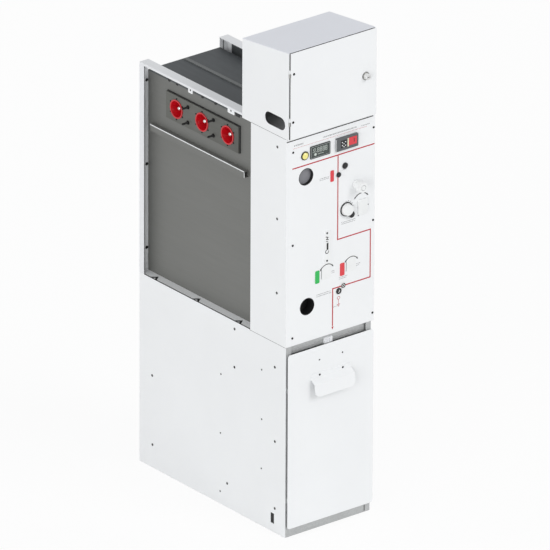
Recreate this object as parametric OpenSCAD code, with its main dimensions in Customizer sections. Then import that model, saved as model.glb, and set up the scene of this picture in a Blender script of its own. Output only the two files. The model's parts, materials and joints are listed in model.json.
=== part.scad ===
// Ring main unit: one medium-voltage breaker cubicle.
// Corner frame used by every module: X right from the left side, Y back from the
// operating panel's face, Z up from the floor. at_origin() centres the result.

/* [Overall] */
// Width over the operating panel
width = 420; // [390:5:520]
// Depth from the operating panel's face to the rear plane
depth = 880; // [800:4:1080]
// Height of the cable compartment
cable_h = 776; // [700:2:950]
// Height of the switchgear section above the cable compartment
gear_h = 842; // [800:2:1020]
// How far the lower frame stops short of the right edge of the operating panel
frame_step = 13; // [0:1:20]
// Height of the plinth
plinth_h = 34; // [30:1:60]

/* [Low-voltage box] */
// Height of the low-voltage box at its front
lv_h = 350; // [300:5:450]
// Depth of the low-voltage box behind the operating panel's face
lv_depth = 264; // [230:2:300]
// How far the box stands in front of the operating panel
lv_front = 9; // [6:1:20]
// Fall of the roof from front to rear
roof_drop = 30; // [0:1:60]
// Length of the cable opening in the box's side
cable_slot_l = 119; // [80:1:150]
// Height of the cable opening in the box's side
cable_slot_h = 49; // [30:1:60]

/* [Sheet metal] */
// Thickness of the painted sheet
sheet = 2; // [1.5:0.5:3]
// Running gap between a closed door and what is behind it
door_gap = 5; // [4:0.1:8]
// Width of the folded flanges around a door opening
flange = 12; // [10:1:16]
// Radius of the corners of the doors
door_r = 10; // [4:1:14]

/* [Cable compartment cover] */
// How far the cover's left edge stands inside the frame
cover_margin = 5.5; // [3:0.5:8]
// Gap between the cover and the operating panel above it
cover_top_gap = 30; // [20:1:40]
// Width of the scoop handle
handle_w = 190; // [120:5:240]
// How far the handle stands out of the cover
handle_reach = 30; // [24:1:45]
// Height of the handle's mouth above the floor
handle_z = 556; // [500:2:600]

/* [Gas tank] */
// Width of the open bay between the side plane and the tank
bay = 40; // [34:1:60]
// Depth of the mechanism housing in front of the tank
mech_d = 210; // [170:2:254]
// Thickness of the tank's sheet
tank_t = 3; // [2:0.5:5]
// How far the tank's top lies under the top rails
tank_drop = 41; // [30:1:60]
// Height of the top rails above the switchgear section
rail_rise = 18; // [10:1:30]

/* [Busbar bushings] */
// Distance between neighbouring bushings
bushing_pitch = 153; // [120:1:170]
// Radius of a bushing's flange
bushing_r = 37; // [30:0.2:45]
// Depth of a bushing's conical socket
socket_d = 80; // [50:5:110]
// Height of the bushings under the top of the switchgear section
bushing_drop = 120; // [110:1:160]
// Thickness of the raised bushing plate
bushing_plate_t = 10; // [6:1:12]

/* [Operating panel] */
// Radius of the gauge window and of the test socket
port_r = 34; // [25:1:36]
// Radius of the upper operating knob
knob_r = 22; // [16:0.5:27]
// Radius of the lower operating disc
disc_r = 24; // [20:0.5:29]

/* [Hidden] */
$fn = 48;

body_h = cable_h + gear_h;             // top of the operating panel
frame_w = width - frame_step;          // right side of the lower frame
rail_z = body_h + rail_rise;           // top of the top rails
tank_top_z = rail_z - tank_drop;
mech_back = sheet + mech_d;            // rear face of the mechanism housing
cover_y = -(door_gap + 2*sheet);       // front face of the cover
knob_len = 46;                         // how far the upper knob stands out of the panel
reach = max(-cover_y + handle_reach, knob_len);  // foremost point of the whole unit
seat = 0.3;                            // gap between pieces that rest on each other
head_h = 2;                            // height of a screw head
head_r = 5;                            // radius of a screw head
foot_w = 23;                           // width of a plinth channel
post_w = 24;                           // width of a front post
channel_wall = 3;
fold = 10;                             // short stiffening folds
origin_y = (reach - depth)/2;          // centres the unit over its footprint

module at_origin() translate([-width/2, origin_y, 0]) children();

// Box between two corners
module block(low, high) translate(low) cube(high - low);

// Round bar along +Y from y0 to y1
module bar_y(x, z, y0, y1, r) translate([x, y0, z]) rotate([-90, 0, 0]) cylinder(r = r, h = y1 - y0);

// Cone along +Y from y0 to y1
module cone_y(x, z, y0, y1, ra, rb)
    translate([x, y0, z]) rotate([-90, 0, 0]) cylinder(r1 = ra, r2 = rb, h = y1 - y0);

// Upright sheet with rounded corners, front face at y
module card_y(x0, x1, z0, z1, y, t, r)
    translate([0, y + t, 0]) rotate([90, 0, 0]) linear_extrude(t)
        rounded_rect(x0, x1, z0, z1, r);

module rounded_rect(x0, x1, y0, y1, r) {
    translate([x0 + r, y0]) square([x1 - x0 - 2*r, y1 - y0]);
    translate([x0, y0 + r]) square([x1 - x0, y1 - y0 - 2*r]);
    for (x = [x0 + r, x1 - r], y = [y0 + r, y1 - r]) translate([x, y]) circle(r);
}

// Mirrors a left-hand piece onto the right-hand side of the switchgear section
module right_hand() translate([width, 0, 0]) mirror([1, 0, 0]) children();

// ---------------------------------------------------------------- lower frame

plinth_y = 1;
anchor_r = 7;
anchor_access_r = 11;
anchor_in = foot_w/2 + sheet;
anchor_y = 80;

module anchor_points()
    for (x = [anchor_in, frame_w - anchor_in], y = [anchor_y, depth - anchor_y])
        translate([x, y, 0]) children();

module plinth() color("silver") difference() {
    block([sheet, plinth_y, 0], [frame_w - sheet, depth - sheet, plinth_h]);
    block([sheet + foot_w, plinth_y + foot_w, -1],
        [frame_w - sheet - foot_w, depth - sheet - foot_w, plinth_h + 1]);
    block([sheet + channel_wall, plinth_y + channel_wall, channel_wall],
        [frame_w - sheet - channel_wall, depth - sheet - channel_wall, plinth_h - channel_wall]);
    block([frame_w - foot_w - 3*sheet, plinth_y - 1, channel_wall],
        [frame_w - foot_w - sheet, plinth_y + channel_wall + 1, plinth_h - channel_wall]);
    anchor_points() translate([0, 0, -1]) cylinder(r = anchor_r, h = channel_wall + 2);
    anchor_points() translate([0, 0, plinth_h/2]) cylinder(r = anchor_access_r, h = plinth_h);
}

lift_slot = [66, 34];                  // nearest corner of the lifting slot
lift_slot_size = [20, 42];

module left_side_panel() color("whitesmoke") difference() {
    block([0, 0, 0], [sheet, depth, cable_h]);
    translate([-1, lift_slot.x, lift_slot.y]) cube([sheet + 2, lift_slot_size.x, lift_slot_size.y]);
}

module right_side_panel() color("whitesmoke") difference() {
    block([frame_w - sheet, 0, 0], [frame_w, depth, cable_h]);
    translate([frame_w - sheet - 1, lift_slot.x, lift_slot.y])
        cube([sheet + 2, lift_slot_size.x, lift_slot_size.y]);
}

module rear_panel() color("whitesmoke")
    block([sheet, depth - sheet, 0], [frame_w - sheet, depth, cable_h]);

// Angle post behind the cover's edge: a face towards the front and a flange along the side
post_d = 32;

module front_post(x0, x1, flange_x) color("silver") {
    block([x0, 0, plinth_h], [x1, sheet, cable_h]);
    block([flange_x, sheet, plinth_h], [flange_x + sheet, post_d, cable_h]);
}

module front_post_left() front_post(sheet, sheet + post_w, sheet);
module front_post_right() front_post(frame_w - sheet - post_w, frame_w - sheet, frame_w - 2*sheet);

// Channel across the opening, above the cover
head_rail_y = 8;
head_rail_h = 34;

groove_z = [0.38, 0.56];               // edges of the rail's groove, as parts of its height

module cover_head_rail() color("slategray") difference() {
    block([2*sheet, head_rail_y, cable_h - head_rail_h], [frame_w - 2*sheet, post_d, cable_h]);
    block([2*sheet - 1, head_rail_y + channel_wall, cable_h - head_rail_h + channel_wall],
        [frame_w - 2*sheet + 1, post_d - channel_wall, cable_h - channel_wall]);
    block([sheet + post_w + fold, head_rail_y - 1, cable_h - (1 - groove_z[0])*head_rail_h],
        [frame_w - sheet - post_w - fold, head_rail_y + channel_wall - 1,
            cable_h - (1 - groove_z[1])*head_rail_h]);
}

catch_w = 38;
catch_z = 22;

// Open bracket that the cover's top edge snaps against
module cover_catch() color("gainsboro") difference() {
    block([frame_w/2 - catch_w/2, 0, cable_h - fold - catch_z],
        [frame_w/2 + catch_w/2, head_rail_y, cable_h - fold]);
    block([frame_w/2 - catch_w/2 + 2*sheet, -1, cable_h - fold - catch_z + 2*sheet],
        [frame_w/2 + catch_w/2 - fold, head_rail_y - sheet, cable_h - fold - 2*sheet]);
}

hanger_z = [150, 600];                 // tops of the hangers that carry the cover
hanger_w = 12;
hanger_h = 8;

function hanger_x() = [sheet + post_w/2, frame_w - sheet - post_w/2];

module cover_hangers() color("silver")
    for (x = hanger_x(), z = hanger_z)
        block([x - hanger_w/2, -door_gap, z - hanger_h], [x + hanger_w/2, 0, z]);

// ---------------------------------------------------------------- gas tank and its bays

tank_x = [bay, width - bay];

module tank_walls() color("gray") difference() {
    block([tank_x[0], mech_back, cable_h + tank_t], [tank_x[1], depth - sheet, tank_top_z - tank_t]);
    block([tank_x[0] + tank_t, mech_back + tank_t, cable_h],
        [tank_x[1] - tank_t, depth - sheet - tank_t, tank_top_z]);
    for (y = bushing_ys()) translate([0, y, bushing_z]) rotate([0, 90, 0])
        cylinder(r = well_r + seat, h = width);
}

ridge_w = 16;
ridge_h = 4;

module tank_top() color("dimgray") {
    block([tank_x[0], mech_back, tank_top_z - tank_t], [tank_x[1], depth - sheet, tank_top_z]);
    block([width/2 - ridge_w/2, lv_depth + fold, tank_top_z],
        [width/2 + ridge_w/2, depth - sheet - fold, tank_top_z + ridge_h]);
}

module tank_floor() color("gray")
    block([tank_x[0], mech_back, cable_h], [tank_x[1], depth - sheet, cable_h + tank_t]);

first_notch = 28;                      // first pointed notch, behind the low-voltage box
notch_pitch = 254;
notch_w = 26;
notch_d = 9;

module ledge_left() color("whitesmoke") difference() {
    block([0, mech_back, cable_h], [bay, depth - sheet, cable_h + sheet]);
    for (i = [0 : 2])
        translate([bay/2, lv_depth + first_notch + i*notch_pitch, cable_h - 1]) linear_extrude(sheet + 2)
            polygon([[-notch_d, 0], [0, notch_w/2], [notch_d, 0],
                [notch_d/3, 0], [0, notch_w/4], [-notch_d/3, 0]]);
}

module ledge_right() right_hand() ledge_left();

rear_flange = 27;
post_slots = [69, 410, 752];           // heights of the fixing slots above the ledge
post_slot_size = [6, 18];

module rear_post_left() color("whitesmoke") difference() {
    union() {
        block([0, depth - rear_flange, cable_h + sheet], [sheet, depth, rail_z - sheet]);
        block([0, depth - sheet, cable_h + sheet], [bay, depth, rail_z - sheet]);
        block([0, depth - sheet, cable_h], [bay, depth, cable_h + sheet]);
    }
    for (z = post_slots)
        block([bay/2 - post_slot_size.x/2, depth - sheet - 1, cable_h + z - post_slot_size.y/2],
            [bay/2 + post_slot_size.x/2, depth + 1, cable_h + z + post_slot_size.y/2]);
}

module rear_post_right() right_hand() rear_post_left();

rail_lip = 9;
tab_w = 24;
tab_h = 26;
tab_y = [104, 331];                    // hanging tabs, measured behind the low-voltage box
tab_hole_r = 5;

module top_rail_left() color("gainsboro") {
    block([0, lv_depth, rail_z - sheet], [bay + sheet, depth, rail_z]);
    block([0, lv_depth, rail_z - rail_lip], [sheet, depth - rear_flange, rail_z - sheet]);
    for (y = tab_y) difference() {
        block([bay - fold, lv_depth + y - tab_w/2, rail_z - sheet - tab_h],
            [bay - fold + sheet, lv_depth + y + tab_w/2, rail_z - sheet]);
        translate([0, lv_depth + y, rail_z - sheet - 0.6*tab_h]) rotate([0, 90, 0])
            cylinder(r = tab_hole_r, h = bay);
    }
}

module top_rail_right() right_hand() top_rail_left();

// ---------------------------------------------------------------- busbar bushings

bushing_z = body_h - bushing_drop;
bushing_y = 541;                       // middle bushing, behind the operating panel's face
plate_l = 434;
plate_h = 107;
plate_face = bay - bushing_plate_t;
function bushing_ys() = [for (i = [-1 : 1]) bushing_y + i*bushing_pitch];

module bushing_plate_left() color("gray") difference() {
    block([plate_face, bushing_y - plate_l/2, bushing_z - plate_h/2],
        [bay, bushing_y + plate_l/2, bushing_z + plate_h/2]);
    for (y = bushing_ys()) translate([plate_face - 1, y, bushing_z]) rotate([0, 90, 0])
        cylinder(r = well_r + seat, h = bushing_plate_t + 2);
}

module bushing_plate_right() right_hand() bushing_plate_left();

bushing_flange_t = 3;
wall_t = 4;                            // resin around the socket
mouth_r = bushing_r - 5;               // socket radius at the plate
well_r = bushing_r - 3;                // outside radius behind the flange
root_r = 15;                           // socket radius at its bottom
contact_r = 7;
contact_set = 12;                      // how far the contact's tip lies inside the mouth
contact_nose = 2;                      // chamfer of the contact's tip

// Resin cup sunk into the tank, socket open towards -X, flange face at x = 0
module bushing() rotate([0, 90, 0]) difference() {
    union() {
        cylinder(r = bushing_r, h = bushing_flange_t);
        cylinder(r = well_r, h = socket_d + bushing_flange_t + 2*wall_t);
    }
    translate([0, 0, -1])
        cylinder(r1 = mouth_r + (mouth_r - root_r)/socket_d, r2 = root_r, h = socket_d + 1);
}

module bushings_left() color("firebrick")
    for (y = bushing_ys()) translate([plate_face - bushing_flange_t, y, bushing_z]) bushing();

module bushings_right() right_hand() bushings_left();

module busbar_contacts_left() color("lightgray")
    for (y = bushing_ys()) translate([plate_face - bushing_flange_t + contact_set, y, bushing_z])
        rotate([0, 90, 0]) {
            translate([0, 0, contact_nose])
                cylinder(r = contact_r, h = socket_d - contact_set - contact_nose);
            cylinder(r1 = contact_r - contact_nose, r2 = contact_r, h = contact_nose);
        }

module busbar_contacts_right() right_hand() busbar_contacts_left();

stud_r = 4;
stud_len = 28;
stud_z = 31;
stud_nut_t = 4;
stud_shift = 8;                        // studs stand this far behind the middle between bushings

module plate_studs_left() color("silver")
    for (side = [-1, 1], z = [-stud_z, stud_z])
        translate([plate_face, bushing_y + stud_shift + side*bushing_pitch/2, bushing_z + z])
            rotate([0, -90, 0]) {
                cylinder(r = 2*stud_r, h = stud_nut_t);
                cylinder(r = stud_r, h = stud_len);
            }

module plate_studs_right() right_hand() plate_studs_left();

channel_l = 567;
channel_h = 26;
channel_d = 20;
channel_drop = 227;

module channel_rail_left() color("gray") difference() {
    block([bay - channel_d, lv_depth + fold, body_h - channel_drop - channel_h],
        [bay, lv_depth + fold + channel_l, body_h - channel_drop]);
    block([bay - channel_d + sheet, lv_depth, body_h - channel_drop - channel_h + sheet],
        [bay - sheet, depth, body_h - channel_drop - sheet]);
}

module channel_rail_right() right_hand() channel_rail_left();

// ---------------------------------------------------------------- screws on the side planes

// Each screw: distance behind the operating panel's face, height
lower_screws = [[802, 380], [800, 95], [305, 747], [305, 591], [64, 677], [62, 374], [61, 100], [347, 99]];
gear_screw_y = 54;
gear_screw_z = [206, 506, 796];        // above the cable compartment

head_taper = 0.7;

module screw_head() rotate([0, -90, 0]) cylinder(r1 = head_r, r2 = head_taper*head_r, h = head_h);

module side_screws_left() color("silver") {
    for (s = lower_screws) translate([0, s.x, s.y]) screw_head();
    for (z = gear_screw_z) translate([0, gear_screw_y, cable_h + z]) screw_head();
}

module side_screws_right() color("silver") {
    for (s = lower_screws) translate([frame_w, s.x, s.y]) mirror([1, 0, 0]) screw_head();
    for (z = gear_screw_z) translate([width, gear_screw_y, cable_h + z]) mirror([1, 0, 0]) screw_head();
}

// ---------------------------------------------------------------- mechanism housing and panel

module mechanism_housing() color("whitesmoke") difference() {
    block([0, sheet, cable_h], [width, mech_back, body_h]);
    block([sheet, 0, cable_h + sheet], [width - sheet, mech_back - sheet, body_h - sheet]);
}

gauge_at = [93, 1445];
socket_at = [101, 918];
lamp_at = [86, 1532];
lamp_r = 13;
bezel_r = 17;
bezel_t = 3;
display_at = [111, 1510];
display_size = [94, 51];
relay_at = [230, 1511];
relay_size = [102, 51];
button_at = [[276, 1442], [246, 1413]];
button_r = [12, 10];
knob_at = [330, 1352];
disc_at = [284, 1264];
shaft_r = 8;
red_flag_at = [[208, 1393, 16, 45], [256, 999, 21, 51]];
green_flag_at = [138, 999, 20, 51];
shutter_at = [[338, 1224], [169, 1006], [288, 1006]];
shutter_size = [44, 62];
strip_at = [181, 1070];
strip_size = [27, 128];
flag_r = 4;

shaft_wall = 4;                        // collar round a shaft behind the panel
shaft_end = 6;                         // how far a shaft reaches behind the sheet
drawn_top = 1618;                      // panel top that the placements above are drawn against

// The placements keep their distance from the panel's top
function up(z) = z - drawn_top + body_h;

module operating_panel() color("whitesmoke") difference() {
    block([0, 0, cable_h], [width, sheet, body_h]);
    for (p = [gauge_at, socket_at]) bar_y(p.x, up(p.y), -1, sheet + 1, port_r);
    for (p = [knob_at, disc_at]) bar_y(p.x, up(p.y), -1, sheet + 1, shaft_r + seat);
}

// Gauge dial set back behind its window
gauge_set = 14;
gauge_t = 4;
cup_wall = 3;

module gas_gauge() color("lightslategray") difference() {
    bar_y(gauge_at.x, up(gauge_at.y), sheet, sheet + gauge_set + gauge_t, port_r + cup_wall);
    bar_y(gauge_at.x, up(gauge_at.y), sheet - 1, sheet + gauge_set, port_r);
}

// Blind cup behind the lower round opening
socket_set = 40;

module test_socket() color("black") difference() {
    bar_y(socket_at.x, up(socket_at.y), sheet, sheet + socket_set + cup_wall, port_r + cup_wall);
    bar_y(socket_at.x, up(socket_at.y), sheet - 1, sheet + socket_set, port_r);
}

// How far the fittings stand out of the panel
display_t = 3;
relay_t = 10;
lamp_t = 5;
button_t = 4;
flag_t = 1.5;
shutter_t = 6;
strip_t = 3;

// Upright card on the panel: lower left corner, size, how far it stands out, corner radius
module fitting(at, size, t, r) card_y(at.x, at.x + size.x, up(at.y), up(at.y) + size.y, -t, t, r);

display_rim = 6.5;                     // frame round the sunken screen

module display_unit() color("darkslategray") difference() {
    fitting(display_at, display_size, display_t, 3);
    card_y(display_at.x + display_rim, display_at.x + display_size.x - display_rim,
        up(display_at.y) + display_rim, up(display_at.y) + display_size.y - display_rim,
        -display_t - 1, 2, 2);
}

module protection_relay() color("slategray") fitting(relay_at, relay_size, relay_t, 2);

// A ring under a blunt dome
module signal_lamp() color("khaki") {
    bar_y(lamp_at.x, up(lamp_at.y), -lamp_t, -bezel_t, lamp_r);
    cone_y(lamp_at.x, up(lamp_at.y), -lamp_t - 3, -lamp_t, 0.6*lamp_r, lamp_r);
}

module lamp_bezel() color("black") bar_y(lamp_at.x, up(lamp_at.y), -bezel_t, 0, bezel_r);

module push_buttons() color("black")
    for (i = [0, 1]) bar_y(button_at[i].x, up(button_at[i].y), -button_t, 0, button_r[i]);

module flag(f) fitting([f[0], f[1]], [f[2], f[3]], flag_t, flag_r);

module position_flags_red() color("crimson") for (f = red_flag_at) flag(f);
module position_flag_green() color("mediumseagreen") flag(green_flag_at);

module access_shutters() color("white")
    for (p = shutter_at) fitting(p, shutter_size, shutter_t, 8);

key_slot = [10, 17, 54, 79];           // left, right, bottom and top of the slot in the strip

module key_strip() color("white") difference() {
    fitting(strip_at, strip_size, strip_t, 4);
    card_y(strip_at.x + key_slot[0], strip_at.x + key_slot[1], up(strip_at.y) + key_slot[2],
        up(strip_at.y) + key_slot[3], -strip_t - 1, 2.5, 2);
}

knob_base = 6;
neck_r = 15;

// Round head on a neck; the shaft runs through the panel to a collar behind it
module upper_knob() color("white") {
    bar_y(knob_at.x, up(knob_at.y), -knob_base, sheet + shaft_end, shaft_r);
    bar_y(knob_at.x, up(knob_at.y), sheet + seat, sheet + shaft_end, shaft_r + shaft_wall);
    bar_y(knob_at.x, up(knob_at.y), -seat - knob_base, -seat, neck_r + 3);
    bar_y(knob_at.x, up(knob_at.y), -knob_len/2, -knob_base, neck_r);
    cone_y(knob_at.x, up(knob_at.y), -knob_len, -knob_len/2, knob_r - 2, knob_r);
}

disc_len = 18;
eye_at = [0.6, -0.8];                  // padlock eye and its hole, in radii of the disc
eye_hole_at = [0.7, -0.95];
eye_r = 11;
eye_hole_r = 4;

module lower_bezel() color("black") difference() {
    bar_y(disc_at.x, up(disc_at.y), -bezel_t, 0, disc_r + 4);
    bar_y(disc_at.x, up(disc_at.y), -bezel_t - 1, 1, shaft_r + seat);
}

// Cap with a padlock eye at its lower right
module lower_disc() color("white") {
    bar_y(disc_at.x, up(disc_at.y), -disc_len + 1, sheet + shaft_end, shaft_r);
    bar_y(disc_at.x, up(disc_at.y), sheet + seat, sheet + shaft_end, shaft_r + shaft_wall);
    cone_y(disc_at.x, up(disc_at.y), -disc_len, -seat - bezel_t, disc_r - 3, disc_r);
    difference() {
        bar_y(disc_at.x + eye_at.x*disc_r, up(disc_at.y) + eye_at.y*disc_r,
            3 - disc_len, 7 - disc_len, eye_r);
        bar_y(disc_at.x + eye_hole_at.x*disc_r, up(disc_at.y) + eye_hole_at.y*disc_r,
            -disc_len, 9 - disc_len, eye_hole_r);
    }
}

// ---------------------------------------------------------------- low-voltage box

lv_over = 4;                           // how far the box stands over the frame's right side
lv_w = frame_w + lv_over;              // outer width of the box
lv_top = body_h + lv_h;
lv_open_x = [sheet + flange, lv_w - sheet - flange];
slot_y = 69;
slot_z = 54;

// Side profile in Y and Z, shrunk by t all round
module lv_profile(t) polygon([[-lv_front + t, body_h + t], [lv_depth - t, body_h + t],
    [lv_depth - t, lv_top - roof_drop - t], [-lv_front + t, lv_top - t]]);

// Extrudes a Y-Z outline along X from x0 to x1
module along_x(x0, x1) translate([x0, 0, 0]) rotate([90, 0, 90]) linear_extrude(x1 - x0) children();

module lv_roof_zone(low) along_x(-1, lv_w + 1)
    polygon([[-lv_front - 1, lv_top - low], [lv_depth + 1, lv_top - roof_drop - low],
        [lv_depth + 1, lv_top + roof_drop], [-lv_front - 1, lv_top + roof_drop]]);

module lv_box() color("whitesmoke") difference() {
    along_x(0, lv_w) lv_profile(0);
    along_x(sheet, lv_w - sheet) lv_profile(sheet);
    block([lv_open_x[0], -lv_front - 1, body_h + flange], [lv_open_x[1], 0, lv_top - flange]);
    lv_roof_zone(sheet);
    for (y = [slot_y - cable_slot_l/2 + cable_slot_h/2, slot_y + cable_slot_l/2 - cable_slot_h/2])
        translate([-1, y, body_h + slot_z]) rotate([0, 90, 0])
            cylinder(r = cable_slot_h/2, h = sheet + 2);
    block([-1, slot_y - cable_slot_l/2 + cable_slot_h/2, body_h + slot_z - cable_slot_h/2],
        [sheet + 1, slot_y + cable_slot_l/2 - cable_slot_h/2, body_h + slot_z + cable_slot_h/2]);
}

module lv_roof() color("lavender") intersection() {
    along_x(0, lv_w) lv_profile(0);
    lv_roof_zone(sheet);
}

door_y = -lv_front - door_gap - sheet; // front face of the low-voltage door
door_x = [6, lv_w];
door_z = [body_h + sheet, lv_top - sheet];
pin_at = [4, -lv_front - 3.5];         // hinge axis
barrel_r = 3.2;
pin_r = 1.5;
knuckle = 15;
hinge_z = [73, 267];                   // above the bottom of the box

module lv_hinges() color("silver") for (z = hinge_z) translate([pin_at.x, pin_at.y, body_h + z]) {
    translate([0, 0, -knuckle]) cylinder(r = barrel_r, h = knuckle - seat/2);
    translate([0, 0, -knuckle]) cylinder(r = pin_r, h = 2*knuckle);
    translate([-2, 0, -knuckle]) cube([4, -lv_front - pin_at.y, knuckle - seat/2]);
}

lock_in = 51;                          // from the door's right edge
lock_z = 168;                          // above the bottom of the box
lock_at = [lv_w - lock_in, lock_z];
lock_r = 12;

module lv_door() color("whitesmoke") difference() {
    union() {
        card_y(door_x[0], door_x[1], door_z[0], door_z[1], door_y, sheet, 2);
        difference() {
            block([lv_open_x[0] + door_gap, door_y + sheet, body_h + flange + door_gap],
                [lv_open_x[1] - door_gap, 4, lv_top - flange - door_gap - 4]);
            block([lv_open_x[0] + door_gap + sheet, door_y, body_h + flange + door_gap + sheet],
                [lv_open_x[1] - door_gap - sheet, 5, lv_top - flange - door_gap - 4 - sheet]);
        }
        for (z = hinge_z) {
            translate([pin_at.x, pin_at.y, body_h + z + seat/2]) cylinder(r = barrel_r, h = knuckle);
            block([pin_at.x, door_y + sheet, body_h + z + seat/2],
                [pin_at.x + 14, door_y + 2*sheet, body_h + z + knuckle]);
        }
    }
    for (z = hinge_z) {
        block([0, door_y - 1, body_h + z - knuckle - 1],
            [pin_at.x + barrel_r + 1, door_y + sheet, body_h + z + knuckle + 1.5]);
        block([0, door_y - 1, body_h + z - knuckle - 1],
            [pin_at.x + barrel_r + 1, door_y + 3*sheet, body_h + z + seat/2]);
        translate([pin_at.x, pin_at.y, body_h + z - 1]) cylinder(r = pin_r + 0.1, h = knuckle + 3);
    }
    bar_y(lock_at.x, body_h + lock_at.y, door_y - 1, door_y + sheet + 1, shaft_r + seat);
}

rosette_t = 2;
lock_len = 18;
lock_slit = 6;                         // half the length of the key slit

module lv_lock_rosette() color("silver") difference() {
    bar_y(lock_at.x, body_h + lock_at.y, door_y - rosette_t, door_y, lock_r + 3);
    bar_y(lock_at.x, body_h + lock_at.y, door_y - rosette_t - 1, door_y + 1, shaft_r + seat);
}

module lv_lock() color("gainsboro") difference() {
    union() {
        bar_y(lock_at.x, body_h + lock_at.y, door_y - rosette_t - seat, door_y + sheet + shaft_end, shaft_r);
        bar_y(lock_at.x, body_h + lock_at.y, door_y + sheet + seat, door_y + sheet + shaft_end - 1,
            shaft_r + shaft_wall);
        cone_y(lock_at.x, body_h + lock_at.y, door_y - lock_len, door_y - rosette_t - seat,
            lock_r - 2, lock_r);
    }
    block([lock_at.x - lock_slit, door_y - lock_len - 1, body_h + lock_at.y - 1],
        [lock_at.x + lock_slit, door_y - lock_len + 4, body_h + lock_at.y + 1]);
}

// ---------------------------------------------------------------- cable compartment cover

cover_over = 4.5;                      // how far the cover stands over the frame's right side
cover_x = [cover_margin, frame_w + cover_over];
cover_mid = (cover_x[0] + cover_x[1])/2;
cover_z = [plinth_h + sheet, cable_h - cover_top_gap];

module cable_cover() color("whitesmoke") {
    card_y(cover_x[0], cover_x[1], cover_z[0], cover_z[1], cover_y, sheet, door_r);
    difference() {
        block([cover_x[0] + door_r, cover_y + sheet, cover_z[0] + door_r],
            [cover_x[1] - door_r, -door_gap, cover_z[1] - door_r]);
        block([cover_x[0] + door_r + sheet, cover_y, cover_z[0] + door_r + sheet],
            [cover_x[1] - door_r - sheet, 0, cover_z[1] - door_r - sheet]);
    }
    for (x = hanger_x(), z = hanger_z)
        block([x - hanger_w/2, cover_y + sheet, z + seat], [x + hanger_w/2, -2, z + seat + hanger_h]);
}

handle_t = 2.5;
handle_h = 84;
lip_h = 50;
lip_r = 22;
lip_rake = 6;                          // how far the lip's foot stands out beyond its top
foot_h = 22;                           // flange that lies on the cover
foot_step = 18;

// Bent sheet: a flange on the cover, a top that slopes outwards and a lip that hangs down
module cover_handle() color("white") difference() {
    along_x(cover_mid - handle_w/2, cover_mid + handle_w/2)
        polygon([[cover_y, handle_z + handle_h], [cover_y, handle_z + handle_h - foot_h],
            [cover_y - handle_t, handle_z + handle_h - foot_h],
            [cover_y - handle_reach + lip_rake + handle_t, handle_z + lip_h - handle_t],
            [cover_y - handle_reach + handle_t, handle_z], [cover_y - handle_reach, handle_z],
            [cover_y - handle_reach + lip_rake, handle_z + lip_h],
            [cover_y - handle_t, handle_z + handle_h - foot_step],
            [cover_y - handle_t, handle_z + handle_h]]);
    for (side = [-1, 1])
        translate([cover_mid + side*handle_w/2, 0, handle_z]) rotate([90, 0, 0])
            linear_extrude(reach + 1) difference() {
                square(2*lip_r, center = true);
                translate([-side*lip_r, lip_r]) circle(lip_r);
            }
}

// ---------------------------------------------------------------- assembly

at_origin() plinth();
at_origin() left_side_panel();
at_origin() right_side_panel();
at_origin() rear_panel();
at_origin() front_post_left();
at_origin() front_post_right();
at_origin() cover_head_rail();
at_origin() cover_catch();
at_origin() cover_hangers();
at_origin() tank_walls();
at_origin() tank_top();
at_origin() tank_floor();
at_origin() ledge_left();
at_origin() ledge_right();
at_origin() rear_post_left();
at_origin() rear_post_right();
at_origin() top_rail_left();
at_origin() top_rail_right();
at_origin() bushing_plate_left();
at_origin() bushing_plate_right();
at_origin() bushings_left();
at_origin() bushings_right();
at_origin() busbar_contacts_left();
at_origin() busbar_contacts_right();
at_origin() plate_studs_left();
at_origin() plate_studs_right();
at_origin() channel_rail_left();
at_origin() channel_rail_right();
at_origin() side_screws_left();
at_origin() side_screws_right();
at_origin() mechanism_housing();
at_origin() operating_panel();
at_origin() gas_gauge();
at_origin() test_socket();
at_origin() display_unit();
at_origin() protection_relay();
at_origin() signal_lamp();
at_origin() lamp_bezel();
at_origin() push_buttons();
at_origin() position_flags_red();
at_origin() position_flag_green();
at_origin() access_shutters();
at_origin() key_strip();
at_origin() upper_knob();
at_origin() lower_bezel();
at_origin() lower_disc();
at_origin() lv_box();
at_origin() lv_roof();
at_origin() lv_hinges();
at_origin() lv_door();
at_origin() lv_lock_rosette();
at_origin() lv_lock();
at_origin() cable_cover();
at_origin() cover_handle();
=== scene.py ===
"""Ring main unit: looks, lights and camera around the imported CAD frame.

Metres throughout, +Z up; the operating panel faces -Y. Every mesh is modelled in the row
frame with its object at the origin, so a piece goes where the frame says.
"""
import json
import math
import random

import bmesh
import bpy
from mathutils import Matrix, Vector


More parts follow.
